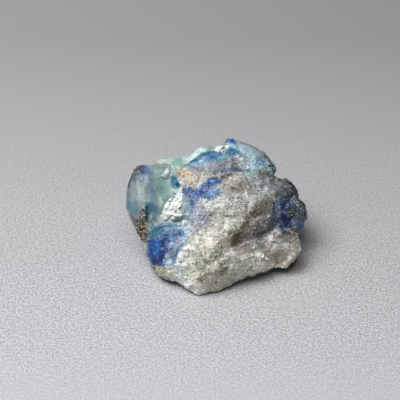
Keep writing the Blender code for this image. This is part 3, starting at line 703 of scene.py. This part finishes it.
def stoneMaterial():
    material, tree, shader, place = newMaterial("afghanite in calcite")
    tint = nodeOf(tree, "ShaderNodeAttribute", attribute_name="tint").outputs["Color"]
    glass = nodeOf(tree, "ShaderNodeAttribute", attribute_name="glass").outputs["Fac"]
    sugar = mathOf(tree, "SUBTRACT", 1.0, glass)
    away, cell = crystalCells(tree, place, stoneFinish["cell"])
    fleck = crystalCells(tree, place, stoneFinish["fleck"])[1]
    powder = cloudsOf(tree, place, stoneFinish["powder"], 2.0, 0.7)
    cloud = cloudsOf(tree, place, stoneFinish["cloud"], 3.0)
    uneven = mathOf(
        tree, "ADD",
        rangeOf(tree, cell["Red"], 0, 1, -0.16, 0.16),
        rangeOf(tree, fleck["Red"], 0, 1, -0.12, 0.12),
    )
    uneven = mathOf(tree, "ADD", uneven, rangeOf(tree, powder, 0.3, 0.7, -0.16, 0.16))
    uneven = mathOf(tree, "MULTIPLY", uneven, rangeOf(tree, sugar, 0, 1, 0.22, 1))
    bright = mathOf(tree, "ADD", uneven, 1.0)
    bright = mathOf(tree, "MULTIPLY", bright, rangeOf(tree, cloud, 0.3, 0.7, 0.92, 1.08))
    shaded = scaleOf(tree, tint, bright)
    # painted glints: a few crystal faces get a lighter base colour
    paintedGlint = mathOf(tree, "MULTIPLY", rangeOf(tree, cell["Green"], 0.92, 0.98), sugar)
    paintedGlint = mathOf(tree, "MULTIPLY", paintedGlint, stoneFinish["paintedGlint"])
    inputs = {0: scaleOf(tree, shaded, 1.6), 1: (0.12, 0.12, 0.12)}
    glintColour = nodeOf(tree, "ShaderNodeVectorMath", inputs).outputs[0]
    rough = rangeOf(tree, glass, 0, 1, stoneFinish["roughSugar"], stoneFinish["roughGlass"])
    faces = mathOf(tree, "MULTIPLY", away, sugar)
    height = mathOf(tree, "ADD", faces, mathOf(tree, "MULTIPLY", powder, 0.35))
    setSockets(tree, shader, {
        "Base Color": mixOf(tree, paintedGlint, shaded, glintColour),
        "Roughness": mathOf(tree, "ADD", rough, rangeOf(tree, cell["Blue"], 0, 1, -0.2, 0.2)),
        "Transmission Weight": mathOf(tree, "MULTIPLY", glass, stoneFinish["clearness"]),
        "Normal": bumpOf(tree, height, 0.35, stoneFinish["bump"]),
        "IOR": 1.53,
        "Subsurface Weight": stoneFinish["glow"],
        "Subsurface Radius": (1.0, 1.0, 1.0),
        "Subsurface Scale": stoneFinish["glowReach"] * mm,
    })
    return material


afghanite = remeshedStone()
print("stone remeshed:", len(afghanite.data.polygons), "faces")
carve(afghanite)
tintOf, glassOf = paint(afghanite)
afghanite.data.materials.clear()
afghanite.data.materials.append(stoneMaterial())
afghanite.data.shade_smooth()
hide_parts("afghanite_stone")
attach(afghanite, "root")
print("stone carved and painted")


# Small crystals and grains, half sunk in the stone

rhomb = Matrix(((1.0, -0.2, -0.2), (0.0, 0.98, -0.24), (0.0, 0.0, 0.95))).to_4x4()


def randomTurn(rng):
    axis = Vector(rng.normal(size=3)).normalized()
    return Matrix.Rotation(rng.uniform(0.0, 2.0 * math.pi), 4, axis)


def newGrains():
    bm = bmesh.new()
    return bm, bm.verts.layers.float_color.new("tint")


def addGrain(bm, tintLayer, spot, turn, sides, colour):
    # one rhomb with its three sides in mm
    shape = Matrix.Diagonal((*sides, 1.0)) @ rhomb
    place = Matrix.Translation(spot) @ turn @ Matrix.Scale(mm, 4) @ shape
    made = bmesh.ops.create_cube(bm, size=1.0, matrix=place)
    for vert in made["verts"]:
        vert[tintLayer] = (*colour, 1.0)


def gathered(batches):
    # joins small meshes into one
    whole = newGrains()[0]
    for bm in batches:
        batch = meshOf("batch", bm)
        whole.from_mesh(batch)
        bpy.data.meshes.remove(batch)
    return whole


def finishedPiece(name, bm, material):
    bmesh.ops.recalc_face_normals(bm, faces=bm.faces[:])
    piece = linked(name, meshOf(name, bm))
    piece.data.materials.append(material)
    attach(piece, "root")


def crystalMaterial(name, rough, glow, clearness=0.0):
    material, tree, shader, place = newMaterial(name)
    tint = nodeOf(tree, "ShaderNodeAttribute", attribute_name="tint").outputs["Color"]
    veil = cloudsOf(tree, place, 0.3125, 3.0)
    setSockets(tree, shader, {
        "Base Color": scaleOf(tree, tint, rangeOf(tree, veil, 0.3, 0.7, 0.86, 1.12)),
        "Normal": bumpOf(tree, veil, 0.3, 0.1),
        "Roughness": rough,
        "IOR": 1.6,
        "Transmission Weight": clearness,
        "Subsurface Weight": glow,
        "Subsurface Radius": (1.0, 1.0, 1.0),
        "Subsurface Scale": 0.6 * mm,
    })
    return material


stoneTree = BVHTree.FromObject(afghanite, bpy.context.evaluated_depsgraph_get())
eye = fromFace(*face["seenFrom"])


def onStone(u, w):
    # where the stone is met on the line of sight through this place, and which way it faces
    aim = fromFace(u, w, 0.0)
    return stoneTree.ray_cast(eye, (aim - eye).normalized())[:2]


sugarGrain = {
    "count": 7000,
    "sides": (0.10, 0.36),  # mm
    "lift": -0.19,  # how far its middle is above the surface, as a part of its size
    "shade": 0.15,  # how much one grain differs from the next
    "pale": 0.10,  # share of nearly white grains
    "dark": 0.03,
    "batch": 100,  # grains made in one go
    "seed": 7,
}


def sugarGrains():
    rng = np.random.default_rng(sugarGrain["seed"])
    verts = afghanite.data.vertices
    least, most = sugarGrain["sides"]
    batches = []
    made = 0
    while made < sugarGrain["count"]:
        vert = verts[int(rng.integers(len(verts)))]
        size = least + (most - least) * rng.random() ** 2
        shade = 1.0 + sugarGrain["shade"] * rng.normal()
        kind = rng.random()
        turn = randomTurn(rng)
        sides = size * rng.uniform(0.6, 1.3, 3)
        if vert.co.z < 0.6 * mm or rng.random() < glassOf[vert.index]:
            continue
        colour = tintOf[vert.index] * max(shade, 0.4)
        matrix = smooth(colour.min() / colour.max(), 0.5, 0.85)  # 1 where the stone is grey
        if rng.random() > 0.4 + 0.6 * matrix:
            continue
        if kind < sugarGrain["pale"] * matrix:
            colour = 0.5 * colour + 0.42
        elif kind > 1.0 - sugarGrain["dark"]:
            colour = 0.25 * colour
        if made % sugarGrain["batch"] == 0:
            bm, tintLayer = newGrains()
            batches.append(bm)
        spot = vert.co + vert.normal * sugarGrain["lift"] * size * mm
        addGrain(bm, tintLayer, spot, turn, sides, np.clip(colour, 0.0, 0.95))
        made += 1
    finishedPiece("sugarGrains", gathered(batches), crystalMaterial("sugar grains", 0.42, 0.45))


crystals = {
    "lift": -0.04,  # as a part of its size
    "rounding": 0.035,  # mm
    "corners": 9,  # points that a splinter is the hull of
    "splinterLift": 0.16,
    "white": (248, 250, 247),
    "bluish": (212, 226, 234),
    "cream": (226, 219, 202),
    "pink": (226, 222, 226),
    "brown": (92, 84, 70),
    "seed": 12,
}

# Larger crystals: u, w, size, colour, how many in the group
crystalSpots = (
    (-7.4, 8.7, 0.5, "white", 2), (-6.6, 6.9, 0.4, "white", 2), (6.4, 10.3, 0.4, "white", 1),
    (8.3, -7.0, 0.8, "cream", 3), (9.0, -7.4, 0.8, "cream", 2), (9.2, 5.2, 0.4, "white", 1),
    (14.6, 2.3, 0.4, "bluish", 1), (-5.1, -5.5, 0.5, "white", 2), (-5.8, -6.6, 0.6, "white", 3),
    (-6.4, -7.7, 0.7, "white", 3), (-7.0, -8.6, 0.7, "white", 2), (-6.6, -1.2, 0.7, "bluish", 2),
    (-5.6, -0.9, 0.8, "bluish", 3), (-5.2, -1.9, 0.7, "bluish", 2), (-9.6, -9.5, 0.6, "cream", 2),
    (-8.3, -9.7, 0.7, "cream", 3), (-7.2, -10.6, 0.6, "cream", 2),
)

# Splinters: u, w, length, width, angle in the face (degrees, 0 = to the right), and the colour
# where it isn't white
splinters = (
    (-6.4, 4.9, 1.9, 0.8, 68, "bluish"), (-6.7, 3.8, 1.4, 0.8, 62), (-6.3, 3.2, 0.8, 0.5, 80),
    (-7.3, 3.0, 1.1, 0.8, 30), (-8.3, 3.1, 1.3, 0.7, 65), (-8.8, 2.1, 1.7, 0.9, 62),
    (-7.9, 2.0, 1.6, 1.1, 40), (-6.8, 2.1, 1.5, 1.0, 85), (-9.3, 0.8, 1.8, 1.0, 50),
    (-8.2, 0.9, 2.2, 1.2, 15), (-7.0, 0.8, 1.8, 1.3, -15), (-8.9, 0.1, 2.0, 0.8, 8),
    (-7.4, 0.0, 1.8, 0.7, -6), (-9.7, 0.5, 0.9, 0.4, 35), (-6.8, 0.2, 1.2, 0.7, -20),
    (-9.1, 7.9, 2.2, 1.5, 65, "bluish"), (-8.8, 8.4, 1.2, 0.8, 30), (-8.6, 7.5, 1.2, 0.6, 10),
    (0.8, 12.3, 2.2, 1.5, 25, "bluish"), (2.1, 12.7, 1.2, 0.9, 50), (1.3, 12.0, 1.1, 0.7, 15),
    (3.9, 11.2, 1.1, 0.6, -45, "pink"), (4.6, 10.5, 0.8, 0.5, -20), (5.6, 8.9, 0.9, 0.5, 35),
    (-14.3, 8.8, 1.3, 0.45, 100, "brown"), (-14.7, 8.4, 1.4, 0.5, 110, "brown"),
    (-13.9, 9.2, 0.9, 0.5, 120, "brown"),
)


def addSplinter(spot, turn, sides, colour, rng):
    # one angular splinter as a small mesh: the hull of a few points on a ball
    bm, tintLayer = newGrains()
    place = Matrix.Translation(spot) @ turn @ Matrix.Diagonal((*(side * mm for side in sides), 1.0))
    for corner in range(crystals["corners"]):
        vert = bm.verts.new(place @ (0.5 * Vector(rng.normal(size=3)).normalized()))
        vert[tintLayer] = (*colour, 1.0)
    bmesh.ops.convex_hull(bm, input=bm.verts[:])
    bmesh.ops.delete(bm, geom=[vert for vert in bm.verts if not vert.link_faces], context="VERTS")
    return bm


def splinterBatches(rng):
    batches = []
    for u, w, length, width, angle, *other in splinters:
        spot, normal = onStone(u, w)
        a = math.radians(angle)
        along = fromFace(math.cos(a), math.sin(a), 0.0) - fromFace(0.0, 0.0, 0.0)
        along = (along - normal * along.dot(normal)).normalized()
        turn = Matrix((along, normal.cross(along), normal)).transposed().to_4x4()
        sides = (length * 1.15, width * 1.15, 0.65 * width)  # a hull is smaller than its ball
        kind = other[0] if other else "white"
        colour = np.clip(linear(crystals[kind]) * rng.uniform(0.97, 1.03), 0.0, 0.95)
        place = spot + normal * crystals["splinterLift"] * width * mm
        batches.append(addSplinter(place, turn, sides, colour, rng))
    return batches


def calciteCrystals():
    rng = np.random.default_rng(crystals["seed"])
    bm, tintLayer = newGrains()
    for u, w, size, kind, count in crystalSpots:
        for step in range(count):
            part = size * (1.0 - 0.16 * step) * rng.uniform(0.85, 1.1)
            du, dw = rng.normal(0.0, 0.16 * size * (step > 0), 2)
            spot, normal = onStone(u + du, w + dw)
            colour = linear(crystals[kind]) * rng.uniform(0.88, 1.08)
            sides = part * rng.uniform(0.6, 1.05, 3)
            place = spot + normal * crystals["lift"] * part * mm
            addGrain(bm, tintLayer, place, randomTurn(rng), sides, np.clip(colour, 0.0, 0.93))
    long = [edge for edge in bm.edges if edge.calc_length() > 0.3 * mm]
    bmesh.ops.bevel(
        bm, geom=long, offset=crystals["rounding"] * mm, segments=1, profile=0.5, material=-1,
        affect="EDGES",
    )
    whole = gathered([bm] + splinterBatches(rng))
    finishedPiece("calciteCrystals", whole, crystalMaterial("white calcite", 0.5, 0.75, 0.05))


crust = {
    "path": ((-13.2, 1.5), (-13.2, 0.1), (-13.2, -1.4), (-13.5, -2.7), (-13.3, -4.0)),
    "spread": (0.1, 0.55),  # at the top and at the foot
    "lift": 0.05,
    "count": 260,
    "sides": (0.10, 0.30),
    # the crust's browns and blacks, and two pale colours that are partly its pale grains and partly painted
    # glints
    "colours": (
        (98, 92, 74), (62, 60, 44), (40, 32, 28), (44, 40, 30), (176, 158, 128), (212, 200, 178),
        (112, 112, 102),
    ),
    "seed": 21,
}


def rustCrust():
    rng = np.random.default_rng(crust["seed"])
    bm, tintLayer = newGrains()
    path = np.array(crust["path"])
    top, foot = crust["spread"]
    for step in range(crust["count"]):
        along = rng.uniform(0.0, len(path) - 1.001)
        index = int(along)
        u, w = path[index] + (path[index + 1] - path[index]) * (along - index)
        spread = top + (foot - top) * min(along / 2.0, 1.0)
        spot, normal = onStone(u + rng.normal(0.0, spread), w)
        size = rng.uniform(*crust["sides"])
        colour = linear(crust["colours"][int(rng.integers(len(crust["colours"])))])
        if spot is None:
            continue
        place = spot + normal * crust["lift"] * size * mm
        sides = size * rng.uniform(0.6, 1.2, 3)
        addGrain(bm, tintLayer, place, randomTurn(rng), sides, colour * rng.uniform(0.7, 1.2))
    finishedPiece("rustCrust", bm, crystalMaterial("brown crust", 0.4, 0.0))


darkSpecks = {
    "spots": (
        (-2.6, -6.6), (-1.9, -7.9), (-3.5, -8.1), (10.5, -3.5), (10.6, -4.3), (1.4, -8.0),
        (0.8, -8.5), (1.7, -9.4), (-2.2, -7.6), (6.9, -2.7), (11.4, -3.2), (-14.9, 8.6),
    ),
    "size": 0.24,
    "colour": (62, 58, 52),
    "seed": 5,
}

paleSpecks = {
    "spots": (
        (14.2, 3.9), (14.6, 2.8), (13.7, 2.6), (15.2, 1.6), (14.9, 0.4), (12.5, 0.9), (14.5, -0.4),
        (15.3, -0.9), (14.2, -1.8), (13.0, -2.3), (12.1, 4.9), (13.4, 5.6), (15.9, 0.8), (11.5, 5.8),
        (3.2, 10.4), (4.9, 10.2), (2.4, 9.3), (6.1, 9.8), (7.0, 9.0), (0.6, 9.6), (5.2, 7.6),
        (8.1, 7.2),
    ),
    "size": 0.2,
    "colour": (136, 149, 170),
    "seed": 15,
}


def scattered(name, specks, material):
    # three grains about each spot
    rng = np.random.default_rng(specks["seed"])
    bm, tintLayer = newGrains()
    for u, w in specks["spots"]:
        for step in range(3):
            du, dw = rng.normal(0.0, 0.16, 2)
            spot = onStone(u + du, w + dw)[0]
            sides = specks["size"] * rng.uniform(0.5, 1.1, 3)
            colour = np.clip(linear(specks["colour"]) * rng.uniform(0.7, 1.8), 0.0, 0.8)
            if spot is None:
                continue
            addGrain(bm, tintLayer, spot, randomTurn(rng), sides, colour)
    finishedPiece(name, bm, material)


sugarGrains()
print("sugar grains placed")
calciteCrystals()
print("calcite crystals placed")
rustCrust()
scattered("darkSpecks", darkSpecks, crystalMaterial("dark specks", 0.3, 0.0))
scattered("paleSpecks", paleSpecks, crystalMaterial("pale specks", 0.35, 0.4))
print("crust and specks placed")


# The sheet that it lies on, the light and the camera

sheet = {
    "size": 1200.0,  # mm
    "drop": 0.02,
    # painted light falloff: the sheet is painted lighter near the eye and darker far off
    "near": (190, 189, 193),
    "far": (147, 147, 148),
    "paintedFalloff": (-55.0, 75.0),  # where the painted light falloff runs from the near colour to the far one
    "grain": 0.36,
    "sharpFrom": (62.0, -10.0),  # the grain comes into focus and goes out again towards the eye
    "sharpTo": (-24.0, -38.0),
}

light = {
    "distance": 420.0,
    "key": (-96.0, 60.0, 250.0, 1.6),  # azimuth, elevation, size, power
    "top": (-30.0, 76.0, 320.0, 1.0),
    "room": 0.035,
}


def floorMaterial():
    material, tree, shader, place = newMaterial("pale sheet")
    along = nodeOf(tree, "ShaderNodeSeparateXYZ", {"Vector": place}).outputs["Y"]
    near, far = ((*linear(sheet[end]), 1.0) for end in ("near", "far"))
    # painted light falloff, from the near colour to the far one
    falloffColour = mixOf(tree, rangeOf(tree, along, *sheet["paintedFalloff"]), near, far)
    sand = cloudsOf(tree, place, sheet["grain"], 2.0, 0.8)
    focus = mathOf(
        tree, "MULTIPLY",
        rangeOf(tree, along, *sheet["sharpFrom"], 0.05, 1.0),
        rangeOf(tree, along, *sheet["sharpTo"], 1.0, 0.4),
    )
    speckle = mathOf(tree, "MULTIPLY", rangeOf(tree, sand, 0.3, 0.7, -0.48, 0.48), focus)
    setSockets(tree, shader, {
        "Base Color": scaleOf(tree, falloffColour, mathOf(tree, "ADD", speckle, 1.0)),
        "Normal": bumpOf(tree, sand, 0.12, 0.1),
        "Roughness": 0.85,
        "Specular IOR Level": 0.2,
    })
    return material


def makeFloor():
    bm = bmesh.new()
    bmesh.ops.create_grid(bm, x_segments=1, y_segments=1, size=0.5 * sheet["size"] * mm)
    bmesh.ops.translate(bm, verts=bm.verts[:], vec=(0.0, 0.0, -sheet["drop"] * mm))
    floor = linked("floor", meshOf("floor", bm))
    floor.data.materials.append(floorMaterial())


def addLight(name):
    azimuth, elevation, size, power = light[name]
    a = math.radians(azimuth)
    e = math.radians(elevation)
    towards = Vector((math.sin(a) * math.cos(e), -math.cos(a) * math.cos(e), math.sin(e)))
    lamp = bpy.data.lights.new(name, "AREA")
    lamp.energy = power
    lamp.size = size * mm
    lampObject = linked(name, lamp)
    lampObject.location = towards * light["distance"] * mm
    lampObject.rotation_euler = towards.to_track_quat("Z", "Y").to_euler()


def setWorld():
    world = bpy.data.worlds.new("room")
    world.use_nodes = True
    sky = world.node_tree.nodes["Background"]
    sky.inputs["Color"].default_value = (1.0, 1.0, 1.0, 1.0)
    sky.inputs["Strength"].default_value = light["room"]
    bpy.context.scene.world = world


def setCamera():
    spec = bpy.data.cameras.new("camera")
    spec.sensor_width = 36.0
    spec.lens = spec.sensor_width * face["seenFrom"][2] / face["seenWidth"]
    spec.clip_start = 0.01
    spec.clip_end = 10.0
    camera = linked("camera", spec)
    camera.location = fromFace(*face["seenFrom"])
    camera.rotation_euler = (lean, 0.0, 0.0)
    bpy.context.scene.camera = camera


makeFloor()
addLight("key")
addLight("top")
setWorld()
setCamera()
bpy.context.scene.view_settings.view_transform = "Standard"
print("floor, light and camera set")
